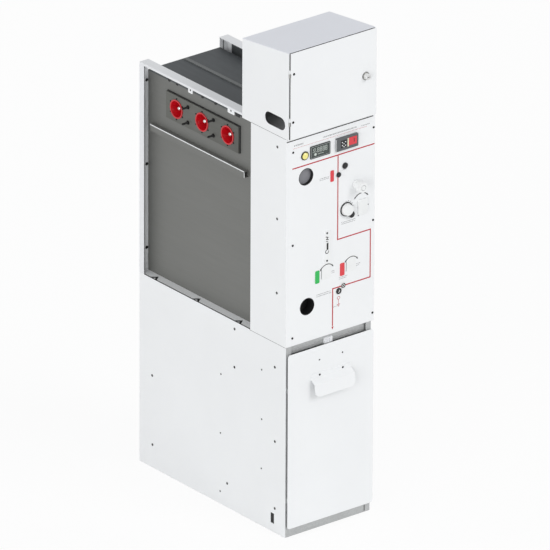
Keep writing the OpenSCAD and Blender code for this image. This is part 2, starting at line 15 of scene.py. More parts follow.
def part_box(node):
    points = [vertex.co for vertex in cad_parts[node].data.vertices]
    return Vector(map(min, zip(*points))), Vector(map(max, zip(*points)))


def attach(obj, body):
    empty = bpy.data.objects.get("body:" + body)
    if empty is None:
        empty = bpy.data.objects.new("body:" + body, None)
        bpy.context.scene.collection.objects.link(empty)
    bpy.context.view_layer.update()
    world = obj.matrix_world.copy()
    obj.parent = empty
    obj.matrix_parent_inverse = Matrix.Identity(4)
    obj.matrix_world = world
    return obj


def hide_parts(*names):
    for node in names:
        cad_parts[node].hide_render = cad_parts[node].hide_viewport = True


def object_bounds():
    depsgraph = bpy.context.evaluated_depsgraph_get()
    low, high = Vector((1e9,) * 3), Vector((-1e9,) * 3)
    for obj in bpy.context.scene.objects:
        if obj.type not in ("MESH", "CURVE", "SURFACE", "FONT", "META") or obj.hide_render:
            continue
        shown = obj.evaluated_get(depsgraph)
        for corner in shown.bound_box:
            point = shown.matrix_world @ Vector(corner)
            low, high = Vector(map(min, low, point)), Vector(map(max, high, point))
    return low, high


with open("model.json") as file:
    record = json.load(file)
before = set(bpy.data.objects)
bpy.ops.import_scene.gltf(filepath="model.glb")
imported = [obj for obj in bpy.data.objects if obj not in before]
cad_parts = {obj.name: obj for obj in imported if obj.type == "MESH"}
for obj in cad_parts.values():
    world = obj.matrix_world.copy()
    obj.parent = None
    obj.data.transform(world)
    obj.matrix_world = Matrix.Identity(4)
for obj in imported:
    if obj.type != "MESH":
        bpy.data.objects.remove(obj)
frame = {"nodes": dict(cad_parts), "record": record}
CAD_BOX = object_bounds()

MM = 0.001
PRINT_T = 0.15 * MM        # thickness of a printed line
ROOT = "cubicle"

RECORD = frame["record"]
SLOT = {row["node"]: row["material_slot"] for row in RECORD["subparts"]}
BODY = {node: body for body, nodes in RECORD["behaviour"]["bodies"].items() for node in nodes}

# Local X, Y and Z become right, up and out of a front face
TO_FRONT = Matrix(((1, 0, 0), (0, 0, -1), (0, 1, 0))).to_4x4()


def corners(node):
    """Lowest and highest corner of a CAD node."""
    low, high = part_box(node)
    return Vector(low), Vector(high)


PANEL_LOW = corners("operating_panel")[0]


def on_panel(x, z, out=0.0):
    """Point on the operating panel: x right and z up from its lower left corner, in mm."""
    return Vector((PANEL_LOW.x + x * MM, PANEL_LOW.y - out * MM, PANEL_LOW.z + z * MM))


# ---------------------------------------------------------------- camera, floor and light

AZIMUTH, ELEVATION, ROLL = math.radians(-38.59), math.radians(23.99), math.radians(0.24)
LENS = 1000.0              # mm; long enough that the view is almost parallel
SENSOR = 36.0
FRAME_HEIGHT = 2.054       # metres of object that the picture spans
AIM = Vector((0.0642, -0.0082, 0.8555))


def make_camera():
    """The view of the photo, nearly parallel."""
    back = Vector((math.sin(AZIMUTH) * math.cos(ELEVATION),
                   -math.cos(AZIMUTH) * math.cos(ELEVATION), math.sin(ELEVATION)))
    right = Vector((math.cos(AZIMUTH), math.sin(AZIMUTH), 0))
    up = back.cross(right)
    right, up = (right * math.cos(ROLL) + up * math.sin(ROLL),
                 up * math.cos(ROLL) - right * math.sin(ROLL))
    data = bpy.data.cameras.new("camera")
    data.lens, data.sensor_width = LENS, SENSOR
    data.clip_end = 500.0
    camera = bpy.data.objects.new("camera", data)
    bpy.context.collection.objects.link(camera)
    place = AIM + back * (FRAME_HEIGHT * LENS / SENSOR)
    camera.matrix_world = Matrix((
        (right.x, up.x, back.x, place.x),
        (right.y, up.y, back.y, place.y),
        (right.z, up.z, back.z, place.z),
        (0, 0, 0, 1)))
    bpy.context.scene.camera = camera


WORLD_LEVEL = 0.66
# Name, azimuth and elevation in degrees, strength, angular spread in degrees
SUNS = [
    ("key", 18, 34, 0.80, 30),
    ("fill", -65, 10, 1.14, 40),
]


def make_lights():
    """A pale surround with a soft key from the upper right and a fill from the left."""
    world = bpy.data.worlds.new("studio")
    bpy.context.scene.world = world
    world.use_nodes = True
    nodes, links = world.node_tree.nodes, world.node_tree.links
    background = nodes["Background"]
    output = nodes["World Output"]
    background.inputs["Color"].default_value = (0.985, 0.995, 1.0, 1)
    background.inputs["Strength"].default_value = WORLD_LEVEL
    white = nodes.new("ShaderNodeBackground")
    white.inputs["Color"].default_value = (1, 1, 1, 1)
    white.inputs["Strength"].default_value = 1.0
    mix = nodes.new("ShaderNodeMixShader")
    path = nodes.new("ShaderNodeLightPath")
    links.new(path.outputs["Is Camera Ray"], mix.inputs[0])
    links.new(background.outputs[0], mix.inputs[1])
    links.new(white.outputs[0], mix.inputs[2])
    links.new(mix.outputs[0], output.inputs["Surface"])
    for name, azimuth, elevation, strength, spread in SUNS:
        data = bpy.data.lights.new(name, "SUN")
        data.energy = strength
        data.angle = math.radians(spread)
        lamp = bpy.data.objects.new(name, data)
        bpy.context.collection.objects.link(lamp)
        a, e = math.radians(azimuth), math.radians(elevation)
        towards = Vector((math.sin(a) * math.cos(e), -math.cos(a) * math.cos(e), math.sin(e)))
        lamp.rotation_euler = towards.to_track_quat("Z", "Y").to_euler()


FLOOR_SIZE = 60.0          # metres
FLOOR_GAP = 0.5 * MM
FLOOR_WHITE = 0.9          # share of plain white that the camera sees


def make_floor():
    """A plain pale floor that the camera sees as nearly white."""
    bpy.ops.mesh.primitive_plane_add(size=FLOOR_SIZE, location=(0, 0, CAD_BOX[0][2] - FLOOR_GAP))
    floor = bpy.context.object
    floor.name = "floor"
    mat = bpy.data.materials.new("floor")
    mat.use_nodes = True
    nodes, links = mat.node_tree.nodes, mat.node_tree.links
    diffuse = nodes["Principled BSDF"]
    diffuse.inputs["Base Color"].default_value = (0.93, 0.93, 0.93, 1)
    diffuse.inputs["Roughness"].default_value = 0.9
    glow = nodes.new("ShaderNodeEmission")
    glow.inputs["Color"].default_value = (1, 1, 1, 1)
    mix = nodes.new("ShaderNodeMixShader")
    path = nodes.new("ShaderNodeLightPath")
    part = nodes.new("ShaderNodeMath")
    part.operation = "MULTIPLY"
    part.inputs[1].default_value = FLOOR_WHITE
    links.new(path.outputs["Is Camera Ray"], part.inputs[0])
    links.new(part.outputs[0], mix.inputs[0])
    links.new(diffuse.outputs[0], mix.inputs[1])
    links.new(glow.outputs[0], mix.inputs[2])
    links.new(mix.outputs[0], nodes["Material Output"].inputs["Surface"])
    floor.data.materials.append(mat)


# ---------------------------------------------------------------- materials

class Surface:
    """A Principled material with helpers that add procedural detail in object space."""

    def __init__(self, name, colour, roughness, metallic=0.0, coat=0.0, specular=0.5):
        self.mat = bpy.data.materials.new(name)
        self.mat.use_nodes = True
        self.nodes, self.links = self.mat.node_tree.nodes, self.mat.node_tree.links
        self.bsdf = self.nodes["Principled BSDF"]
        self.bsdf.inputs["Metallic"].default_value = metallic
        self.bsdf.inputs["Coat Weight"].default_value = coat
        self.bsdf.inputs["Specular IOR Level"].default_value = specular
        self.coord = self.nodes.new("ShaderNodeTexCoord")
        self.colour = (*colour, 1)
        self.roughness = roughness
        self.normal = None

    def feed(self, value, socket):
        """Links a node's output to a socket, or sets a plain number or colour on it."""
        if isinstance(value, bpy.types.NodeSocket):
            self.links.new(value, socket)
        else:
            socket.default_value = value

    def noise(self, scale, stretch=(1, 1, 1), detail=3.0, rough=0.5):
        mapping = self.nodes.new("ShaderNodeMapping")
        mapping.inputs["Scale"].default_value = stretch
        self.links.new(self.coord.outputs["Object"], mapping.inputs["Vector"])
        texture = self.nodes.new("ShaderNodeTexNoise")
        texture.inputs["Scale"].default_value = scale
        texture.inputs["Detail"].default_value = detail
        texture.inputs["Roughness"].default_value = rough
        self.links.new(mapping.outputs[0], texture.inputs["Vector"])
        return texture.outputs["Fac"]

    def ramp(self, value, low, high, start=0.0, end=1.0):
        node = self.nodes.new("ShaderNodeMapRange")
        node.inputs["From Min"].default_value = low
        node.inputs["From Max"].default_value = high
        node.inputs["To Min"].default_value = start
        node.inputs["To Max"].default_value = end
        self.links.new(value, node.inputs["Value"])
        return node.outputs[0]

    def tint(self, mask, colour, amount=1.0):
        """Mixes towards colour where the mask is high."""
        mix = self.nodes.new("ShaderNodeMix")
        mix.data_type = "RGBA"
        fac = self.ramp(mask, 0, 1, 0, amount)
        self.links.new(fac, mix.inputs["Factor"])
        self.feed(self.colour, mix.inputs["A"])
        mix.inputs["B"].default_value = (*colour, 1)
        self.colour = mix.outputs["Result"]

    def roughen(self, mask, change):
        add = self.nodes.new("ShaderNodeMath")
        add.operation = "MULTIPLY_ADD"
        add.use_clamp = True
        add.inputs[1].default_value = change
        self.links.new(mask, add.inputs[0])
        self.feed(self.roughness, add.inputs[2])
        self.roughness = add.outputs[0]

    def bump(self, height, distance, strength=1.0):
        node = self.nodes.new("ShaderNodeBump")
        node.inputs["Strength"].default_value = strength
        node.inputs["Distance"].default_value = distance
        self.links.new(height, node.inputs["Height"])
        if self.normal:
            self.links.new(self.normal, node.inputs["Normal"])
        self.normal = node.outputs[0]

    def edges(self, radius):
        """1 along outer edges, 0 on flat faces; the finishes lighten their colour by it to paint a
        highlight along edges.
        """
        bevel = self.nodes.new("ShaderNodeBevel")
        bevel.samples = 6
        bevel.inputs["Radius"].default_value = radius
        geometry = self.nodes.new("ShaderNodeNewGeometry")
        dot = self.nodes.new("ShaderNodeVectorMath")
        dot.operation = "DOT_PRODUCT"
        self.links.new(bevel.outputs[0], dot.inputs[0])
        self.links.new(geometry.outputs["Normal"], dot.inputs[1])
        return self.ramp(dot.outputs["Value"], 0.995, 0.75)

    def done(self):
        self.feed(self.colour, self.bsdf.inputs["Base Color"])
        self.feed(self.roughness, self.bsdf.inputs["Roughness"])
        if self.normal:
            self.links.new(self.normal, self.bsdf.inputs["Normal"])
        return self.mat


def powder_coat(name, colour, roughness=0.42):
    """Powder-coated sheet: fine orange peel, faint clouding, dust, and lighter edges that are a painted
    edge highlight and partly rubbed paint.
    """
    s = Surface(name, colour, roughness, specular=0.4)
    s.tint(s.ramp(s.noise(3.2, detail=4), 0.35, 0.7), tuple(c * 0.97 for c in colour), 0.8)
    s.tint(s.ramp(s.noise(38, detail=6, rough=0.7), 0.62, 0.8), tuple(c * 0.93 for c in colour), 0.35)
    # Lighter colour along edges: painted edge highlight, partly also rubbed paint.
    s.tint(s.edges(0.0012), tuple(min(1, c * 1.06) for c in colour), 0.6)
    s.roughen(s.noise(14, detail=4), 0.12)
    s.bump(s.noise(700, detail=2), 0.00006, 0.35)
    s.bump(s.noise(2.0, detail=1), 0.0012, 0.12)
    return s.done()


def brushed_metal(name, colour, roughness, stretch, metallic, streak=0.18, cloud=0.14):
    """Sheet with a brushed grain along the direction that is stretched least."""
    s = Surface(name, colour, roughness, metallic=metallic)
    grain = s.noise(60, stretch=stretch, detail=5, rough=0.7)
    s.tint(s.ramp(grain, 0.3, 0.7), tuple(c * (1 - streak) for c in colour), 0.9)
    s.tint(s.ramp(s.noise(4, detail=5), 0.35, 0.7), tuple(c * (1 - cloud) for c in colour), 0.9)
    # Much lighter colour along edges: painted edge highlight.
    s.tint(s.edges(0.001), tuple(min(1, c * 1.5) for c in colour), 0.5)
    s.roughen(grain, 0.14)
    s.bump(grain, 0.00008, 0.3)
    return s.done()


def galvanised(name, colour, roughness=0.5):
    """Zinc coating with a faint spangle."""
    s = Surface(name, colour, roughness, metallic=0.85)
    cells = s.nodes.new("ShaderNodeTexVoronoi")
    cells.inputs["Scale"].default_value = 140
    s.links.new(s.coord.outputs["Object"], cells.inputs["Vector"])
    s.tint(s.ramp(cells.outputs["Distance"], 0.1, 0.8), tuple(c * 0.84 for c in colour), 0.7)
    s.tint(s.ramp(s.noise(9, detail=5), 0.4, 0.7), tuple(c * 0.86 for c in colour), 0.6)
    # Lighter colour along edges: painted edge highlight.
    s.tint(s.edges(0.001), tuple(min(1, c * 1.25) for c in colour), 0.5)
    s.roughen(s.noise(45, detail=4), 0.18)
    s.bump(cells.outputs["Distance"], 0.00008, 0.25)
    return s.done()


def moulding(name, colour, roughness=0.45):
    """Moulded plastic with a fine spark-eroded grain."""
    s = Surface(name, colour, roughness)
    s.tint(s.ramp(s.noise(25, detail=4), 0.4, 0.75), tuple(c * 0.9 for c in colour), 0.5)
    # Lighter colour along edges: painted edge highlight.
    s.tint(s.edges(0.0008), tuple(min(1, c * 1.12 + 0.004) for c in colour), 0.7)
    s.roughen(s.noise(60, detail=3), 0.12)
    s.bump(s.noise(1500, detail=2), 0.00005, 0.5)
    return s.done()


def cast_resin(name, colour):
    """Cast epoxy: glossy, slightly wavy, with faint flow clouding."""
    s = Surface(name, colour, 0.26, coat=0.35, specular=0.55)
    s.tint(s.ramp(s.noise(30, detail=5, rough=0.6), 0.4, 0.7), tuple(c * 0.72 for c in colour), 0.6)
    s.roughen(s.noise(80, detail=3), 0.14)
    s.bump(s.noise(160, detail=2), 0.0001, 0.25)
    return s.done()


def plated(name, colour, roughness=0.22):
    """Plated bright metal with fine scratches."""
    s = Surface(name, colour, roughness, metallic=1.0)
    scratch = s.noise(220, stretch=(1, 6, 1), detail=6, rough=0.8)
    s.tint(s.ramp(scratch, 0.5, 0.75), tuple(c * 0.8 for c in colour), 0.6)
    s.roughen(scratch, 0.2)
    s.bump(scratch, 0.00003, 0.4)
    return s.done()


def print_ink(name, colour):
    """Screen-printed ink: thin, a little uneven, matt."""
    s = Surface(name, colour, 0.5)
    s.tint(s.ramp(s.noise(300, detail=4), 0.55, 0.8), tuple(min(1, c + 0.06) for c in colour), 0.5)
    s.roughen(s.noise(90, detail=2), 0.12)
    s.bump(s.noise(900, detail=2), 0.00002, 0.4)
    return s.done()


def lens(name, colour, roughness=0.16):
    """Glossy indicator window with a faint prism texture."""
    s = Surface(name, colour, roughness, coat=0.5)
    s.tint(s.ramp(s.noise(120, detail=3), 0.4, 0.7), tuple(c * 0.85 for c in colour), 0.5)
    s.roughen(s.noise(200, detail=2), 0.08)
    s.bump(s.noise(500, detail=1), 0.00004, 0.3)
    return s.done()


WHITE = (0.84, 0.85, 0.86)
FINISHES = {
    "white_paint": (powder_coat, WHITE),
    "roof_paint": (powder_coat, (0.8, 0.815, 0.87)),
    "rail_paint": (powder_coat, (0.78, 0.79, 0.81), 0.38),
    "galvanised": (galvanised, (0.62, 0.63, 0.63)),
    "stainless": (brushed_metal, (0.198, 0.2, 0.19), 0.5, (0.05, 0.05, 1.0), 0.3, 0.06, 0.05),
    "plate_steel": (brushed_metal, (0.15, 0.152, 0.138), 0.5, (0.05, 0.05, 1.0), 0.3, 0.1, 0.3),
    # Far darker than the stainless sides: painted shade and dark reflection of the tank's top.
    "tank_roof": (brushed_metal, (0.088, 0.096, 0.102), 0.48, (1.0, 0.05, 1.0), 0.3, 0.08, 0.16),
    # Paler steel for the ridge cap: painted highlight of the light line along the ridge.
    "ridge_steel": (brushed_metal, (0.17, 0.178, 0.18), 0.44, (1.0, 0.05, 1.0), 0.3),
    "red_epoxy": (cast_resin, (0.60, 0.004, 0.012)),
    "bright_metal": (plated, (0.82, 0.82, 0.81)),
    "zinc": (plated, (0.46, 0.46, 0.44), 0.34),
    "dark_screw": (plated, (0.035, 0.035, 0.035), 0.42),
    "screw_steel": (plated, (0.12, 0.12, 0.118), 0.4),
    "dial": (moulding, (0.235, 0.235, 0.255), 0.4),
    "black_plastic": (moulding, (0.012, 0.012, 0.013), 0.42),
    "display_frame": (moulding, (0.014, 0.02, 0.018), 0.4),
    "lcd": (lens, (0.04, 0.055, 0.05), 0.22),
    "lcd_mark": (print_ink, (0.55, 0.6, 0.56)),
    "relay_case": (moulding, (0.10, 0.107, 0.112), 0.42),
    "relay_side": (moulding, (0.42, 0.43, 0.44), 0.45),
    "yellow_lens": (lens, (0.88, 0.80, 0.26)),
    "red_flag": (lens, (0.70, 0.03, 0.045)),
    "green_flag": (lens, (0.01, 0.46, 0.08)),
    "white_plastic": (moulding, (0.83, 0.84, 0.84), 0.4),
    "red_ink": (print_ink, (0.46, 0.006, 0.016)),
    "black_ink": (print_ink, (0.008, 0.008, 0.009)),
    "grey_ink": (print_ink, (0.09, 0.09, 0.095)),
    "cream_ink": (print_ink, (0.75, 0.68, 0.5)),
    "rim_ink": (print_ink, (0.42, 0.45, 0.44)),
    "seam": (print_ink, (0.12, 0.12, 0.125)),
}
MATS = {name: make(name, *rest) for name, (make, *rest) in FINISHES.items()}

# ---------------------------------------------------------------- mesh helpers

def finish(name, mesh, material, body=ROOT, slot=None, smooth=True):
    """Wraps a bmesh as a piece that rides on a body. The slot argument is not used."""
    slot = slot or material
    bmesh.ops.remove_doubles(mesh, verts=mesh.verts, dist=1e-7)
    bmesh.ops.recalc_face_normals(mesh, faces=mesh.faces)
    data = bpy.data.meshes.new(name)
    mesh.to_mesh(data)
    mesh.free()
    obj = bpy.data.objects.new(name, data)
    bpy.context.collection.objects.link(obj)
    data.materials.append(MATS[material])
    if smooth:
        data.shade_smooth()
        data.set_sharp_from_angle(angle=math.radians(35))
    else:
        data.shade_flat()
    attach(obj, body)
    return obj


def frame_at(origin, axis):
    """Matrix whose Z runs along axis from origin."""
    turn = Vector(axis).normalized().to_track_quat("Z", "Y").to_matrix().to_4x4()
    return Matrix.Translation(origin) @ turn


def add_lathe(mesh, place, profile, segments=32, sides=()):
    """Turns (radius, height) points about place's Z. Rings listed in sides are hexagons."""
    rings = []
    for index, (radius, height) in enumerate(profile):
        if radius < 1e-7:
            rings.append([mesh.verts.new(place @ Vector((0, 0, height)))])
            continue
        ring = []
        for step in range(segments):
            angle = 2 * math.pi * step / segments
            r = radius
            if index in sides:
                r *= math.cos(math.pi / 6) / math.cos(angle % (math.pi / 3) - math.pi / 6)
            ring.append(mesh.verts.new(place @ Vector((r * math.cos(angle), r * math.sin(angle), height))))
        rings.append(ring)
    for a, b in zip(rings, rings[1:]):
        for step in range(segments):
            after = (step + 1) % segments
            if len(a) == 1 and len(b) == 1:
                continue
            if len(a) == 1:
                mesh.faces.new((a[0], b[after], b[step]))
            elif len(b) == 1:
                mesh.faces.new((a[step], a[after], b[0]))
            else:
                mesh.faces.new((a[step], a[after], b[after], b[step]))
    for ring in (rings[0], rings[-1]):
        if len(ring) > 2:
            mesh.faces.new(ring)


def bridge(mesh, a, b):
    """Faces between two closed loops with the same number of vertices."""
    for i in range(len(a)):
        j = (i + 1) % len(a)
        mesh.faces.new((a[i], a[j], b[j], b[i]))


def add_prism(mesh, outline, place, height):
    """Extrudes a closed outline of (x, y) points in place's plane by height along its Z."""
    low = [mesh.verts.new(place @ Vector((x, y, 0))) for x, y in outline]
    high = [mesh.verts.new(place @ Vector((x, y, height))) for x, y in outline]
    mesh.faces.new(low)
    mesh.faces.new(high)
    bridge(mesh, low, high)


def add_frame(mesh, outer, inner, place, height):
    """Ring between two outlines with the same number of points."""
    loops = []
    for outline, level in ((outer, 0), (outer, height), (inner, height), (inner, 0)):
        loops.append([mesh.verts.new(place @ Vector((x, y, level))) for x, y in outline])
    for k in range(4):
        bridge(mesh, loops[k], loops[(k + 1) % 4])


def add_tube(mesh, place, outer, inner, height, segments=32):
    """Ring with a square section, standing on place's plane."""
    turns = [2 * math.pi * i / segments for i in range(segments)]
    circles = [[(radius * math.cos(a), radius * math.sin(a)) for a in turns] for radius in (outer, inner)]
    add_frame(mesh, *circles, place, height)


def rectangle(x0, y0, x1, y1):
    return [(x0, y0), (x1, y0), (x1, y1), (x0, y1)]


def rounded(width, height, radius, steps=5):
    """Outline of a rounded rectangle about the origin."""
    points = []
    for cx, cy, start in ((1, 1, 0), (-1, 1, 90), (-1, -1, 180), (1, -1, 270)):
        for step in range(steps + 1):
            a = math.radians(start + 90 * step / steps)
            points.append((cx * (width / 2 - radius) + radius * math.cos(a),
                           cy * (height / 2 - radius) + radius * math.sin(a)))
    return points


def plate(width, height, radius, steps=5):
    """Outline of a rounded plate whose sizes are in mm."""
    return [(x * MM, y * MM) for x, y in rounded(width, height, radius, steps)]


def panel_place(x, z, out=0.0):
    """Matrix on the operating panel: local X right, local Y up, local Z out of the panel."""
    return Matrix.Translation(on_panel(x, z, out)) @ TO_FRONT


def stroke_outline(points, width):
    """Outline of a line of constant width with mitred corners."""
    left, right = [], []
    for i, point in enumerate(points):
        here = Vector(point)
        before = (here - Vector(points[i - 1])).normalized() if i else None
        after = (Vector(points[i + 1]) - here).normalized() if i < len(points) - 1 else None
        along = before if after is None else after if before is None else (before + after).normalized()
        side = Vector((-along.y, along.x))
        reach = width / 2
        if before is not None and after is not None:
            reach /= max(0.3, side.dot(Vector((-after.y, after.x))))
        left.append(tuple(here + side * reach))
        right.append(tuple(here - side * reach))
    return left + right[::-1]


def add_stroke(mesh, points, width, out=0.0, thick=PRINT_T):
    """A printed line on the operating panel through points in mm."""
    outline = [(x * MM, z * MM) for x, z in stroke_outline(points, width)]
    add_prism(mesh, outline, panel_place(0, 0, out), thick)


def arc(cx, cz, radius, start, end, steps=20):
    return [(cx + radius * math.cos(math.radians(start + (end - start) * i / steps)),
             cz + radius * math.sin(math.radians(start + (end - start) * i / steps)))
            for i in range(steps + 1)]


def add_screw(mesh, origin, axis, radius, height, washer=True):
    """Button head with a hexagon socket, seated on a thin washer."""
    place = frame_at(origin, axis)
    base = 0.0
    if washer:
        base = 0.25 * height
        add_lathe(mesh, place, [(0, 0), (1.25 * radius, 0), (1.25 * radius, base), (0, base)], 24)
    rest = height - base
    socket = base + 0.35 * rest
    add_lathe(mesh, place, [
        (0, base), (radius, base), (radius, base + 0.3 * rest), (0.9 * radius, base + 0.7 * rest),
        (0.68 * radius, height), (0.52 * radius, height), (0.5 * radius, socket), (0, socket),
    ], 24, sides=(5, 6))


def soften(node, width):
    """A copy of a CAD node with rounded edges, which stands for the node."""
    source = frame["nodes"][node]
    mesh = bmesh.new()
    mesh.from_mesh(source.data)
    bmesh.ops.remove_doubles(mesh, verts=mesh.verts, dist=2e-6)
    bmesh.ops.dissolve_limit(mesh, angle_limit=math.radians(1.0), verts=mesh.verts, edges=mesh.edges)
    sharp = [e for e in mesh.edges if len(e.link_faces) == 2
             and e.calc_face_angle() > math.radians(40) and e.calc_length() > 4 * width]
    bmesh.ops.bevel(mesh, geom=sharp, offset=width, segments=2, profile=0.5,
                    affect="EDGES", clamp_overlap=True, offset_type="OFFSET")
    piece = finish(node + "_sheet", mesh, SLOT[node], BODY[node], SLOT[node], smooth=False)
    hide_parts(node)


# CAD nodes whose look differs from the one that their slot's name gives
OWN_LOOK = {
    "cover_catch": "rail_paint", "lv_lock": "bright_metal",
    "bushing_plate_left": "plate_steel", "bushing_plate_right": "plate_steel",
}


def dress_cad_nodes():
    """Every CAD node gets the material of its slot, or its own."""
    for node, obj in frame["nodes"].items():
        obj.data.materials.clear()
        obj.data.materials.append(MATS[OWN_LOOK.get(node, SLOT[node])])
        obj.data.shade_smooth()
        obj.data.set_sharp_from_angle(angle=math.radians(30))


# ---------------------------------------------------------------- sheet metal

# Sheets that get rounded edges, and the edge's width in mm
SOFTENED = {
    "left_side_panel": 0.8, "right_side_panel": 0.8, "operating_panel": 0.8,
    "mechanism_housing": 0.8, "lv_box": 0.8, "lv_roof": 0.8, "cable_cover": 0.8, "lv_door": 0.7,
}


def make_sheets():
    """Sheets with softly rounded edges in place of the sharp CAD ones."""
    for node, width in SOFTENED.items():
        soften(node, width * MM)


def make_seams():
    """Thin shadow gaps where the sheets of the body meet."""
    mesh = bmesh.new()
    side_low = corners("left_side_panel")[0]
    house_low, house_high = corners("mechanism_housing")
    seam_h, seam_t = 1.3 * MM, 0.25 * MM
    runs = [
        (side_low.x - seam_t, side_low.y, house_low.z, house_high.y - side_low.y),
        (house_low.x - seam_t, house_low.y, house_high.z, house_high.y - house_low.y),
    ]
    for x, y, z, length in runs:
        place = Matrix.Translation((x, y, z - seam_h / 2))
        add_prism(mesh, rectangle(0, 0, seam_t, length), place, seam_h)
    finish("panel_seams", mesh, "seam", ROOT, "black_plastic", smooth=False)


# ---------------------------------------------------------------- screws

# Screws of the operating panel
PANEL_SCREWS = [(31, 783), (412, 784), (412, 409), (31, 408), (412, 32), (31, 32)]


def panel_screws():
    mesh = bmesh.new()
    for x, z in PANEL_SCREWS:
        add_screw(mesh, on_panel(x, z), (0, -1, 0), 4.4 * MM, 2.4 * MM, washer=False)
    finish("panel_screws", mesh, "dark_screw", ROOT, "zinc")


def side_screws():
    """Detailed heads in the places of the CAD screws."""
    for side, direction in (("left", -1), ("right", 1)):
        node = "side_screws_" + side
        mesh = bmesh.new()
        source = bmesh.new()
        source.from_mesh(frame["nodes"][node].data)
        bmesh.ops.remove_doubles(source, verts=source.verts, dist=2e-6)
        for low, high in islands(source):
            seat = low.x if direction > 0 else high.x
            spot = Vector((seat, (low.y + high.y) / 2, (low.z + high.z) / 2))
            add_screw(mesh, spot, (direction, 0, 0), 4.2 * MM, 2.0 * MM)
        source.free()
        piece = finish("side_screw_heads_" + side, mesh, "screw_steel", ROOT, "zinc")
        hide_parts(node)


def islands(mesh):
    """(lowest, highest) corner of each loose part of a mesh."""
    left = set(mesh.verts)
    found = []
    while left:
        todo = [left.pop()]
        part = []
        while todo:
            vert = todo.pop()
            part.append(vert.co.copy())
            for edge in vert.link_edges:
                other = edge.other_vert(vert)
                if other in left:
                    left.remove(other)
                    todo.append(other)
        found.append((Vector([min(p[k] for p in part) for k in range(3)]),
                      Vector([max(p[k] for p in part) for k in range(3)])))
    return found


# ---------------------------------------------------------------- mimic diagram

# Places on the operating panel, in mm from its lower left corner
GAUGE = (93, 669)
TEST_SOCKET = (101, 142)
UPPER_KNOB = (330, 576)
DISC_COVER = (300.4, 466.2)
SEALED_SCREW = (271, 182)
EARTH = (250, 137)
DISPLAY = (111, 734)
DISPLAY_SIZE = (94, 51)
RELAY = (230, 735)

# How far faces stand in front of the panel, in mm; below zero they are sunk
GAUGE_FACE = -13.9
SOCKET_FLOOR = -39
DISPLAY_FLOOR = 2.0
DISPLAY_FRONT = 3.0
RELAY_FRONT = 10.0
STRIP_FRONT = 3.0
KNOB_FRONT = 44.9

LINE_W = 4.8


def add_words(mesh, x, z, width, rows=1, height=2.6, seed=1):
    """Rows of short dashes in place of lettering."""
    rng = random.Random(seed)
    for row in range(rows):
        at = x
        level = z - row * 2.6 * height
        while at < x + width:
            length = rng.uniform(1.6, 4.6)
            for part in (-0.35, 0.35):
                bar = level + part * height
                add_stroke(mesh, [(at, bar), (at + length, bar)], 0.3 * height)
            post = at + 0.5
            add_stroke(mesh, [(post, level - 0.35 * height), (post, level + 0.35 * height)], 0.9)
            at += length + rng.uniform(1.4, 3.2)


def add_arrow(mesh, x, z, angle, size, out=0.0):
    """Small filled arrowhead on the panel that points along angle, in degrees."""
    a = math.radians(angle)
    tip, wing = size, 0.55 * size
    corners = [(tip, 0), (-0.4 * size, wing), (-0.4 * size, -wing)]
    outline = [((u * math.cos(a) - v * math.sin(a)) * MM, (u * math.sin(a) + v * math.cos(a)) * MM)
               for u, v in corners]
    add_prism(mesh, outline, panel_place(x, z, out), PRINT_T)


def add_disc(mesh, x, z, radius, height, out=0.0, rim=0.0, segments=28):
    """Round piece on the panel, with an optional chamfer of its front edge."""
    rim = rim or 0.2 * height
    add_lathe(mesh, panel_place(x, z, out), [
        (0, 0), (radius * MM, 0), (radius * MM, (height - rim) * MM),
        ((radius - rim) * MM, height * MM), (0, height * MM)], segments)


# Switch arcs: centre, radius, start and end angle
ARCS = [(355, 494, 40, 138, 42), (194, 254, 35, 148, 40), (310, 254, 35, 143, 38)]


def mimic_lines():
    """Generic one-line diagram: busbar, feeder, breaker branch and cable end."""
    mesh = bmesh.new()
    add_stroke(mesh, [(28, 717), (417, 717)], LINE_W)
    feeder = [(244, 715), (244, 375), (400, 375), (400, 181), (222, 181), (222, 30)]
    add_stroke(mesh, feeder, LINE_W)
    add_arrow(mesh, 222, 24, -90, 9)
    for i in range(54):
        add_stroke(mesh, [(30 + 6.5 * i, 797), (34 + 6.5 * i, 797)], 1.3)
    earth_x, earth_z = EARTH
    add_stroke(mesh, arc(earth_x, earth_z, 6, 90, 440, 20), 1.8)
    add_stroke(mesh, [(earth_x, earth_z - 6), (earth_x, earth_z - 26)], 1.8)
    for half, drop in ((8, 26), (5.5, 30), (3, 34)):
        add_stroke(mesh, [(earth_x - half, earth_z - drop), (earth_x + half, earth_z - drop)], 1.8)
    finish("mimic_lines", mesh, "red_ink", ROOT, "red_flag", smooth=False)


def mimic_symbols():
    """Switch arcs with their arrows, painted shadow lines at the lower shutters' left edges, a dark line at
    x 207, the disc's scale and small dots.
    """
    mesh = bmesh.new()
    for cx, cz, radius, start, end in ARCS:
        add_stroke(mesh, arc(cx, cz, radius, start, end), 3.0, thick=MM)
        head = arc(cx, cz, radius, end, end, 1)[0]
        tail = arc(cx, cz, radius, start, start, 1)[0]
        add_arrow(mesh, head[0], head[1], end - 90, 6.5)
        add_arrow(mesh, tail[0], tail[1], start + 90, 6.5)
    # Lines at x 168 and 286 are painted shadow along the left edges of the lower shutters; the line at x
    # 207 is a plain dark line right of the key strip's marks.
    for x, low, high in ((168, 234, 272), (286, 234, 272), (207, 312, 407)):
        add_stroke(mesh, [(x, low), (x, high)], 2.2)
    for angle in range(-70, 71, 20):
        a = math.radians(angle)
        add_stroke(mesh, [(284 + 31 * math.cos(a), 488 + 31 * math.sin(a)),
                          (284 + 35 * math.cos(a), 488 + 35 * math.sin(a))], 1.6)
    for x, z in ((384, 484), (389, 479), (342, 446), (348, 448), (356, 450)):
        add_disc(mesh, x, z, 2.2, 0.15)
    finish("mimic_symbols", mesh, "black_ink", ROOT, "black_plastic", smooth=False)


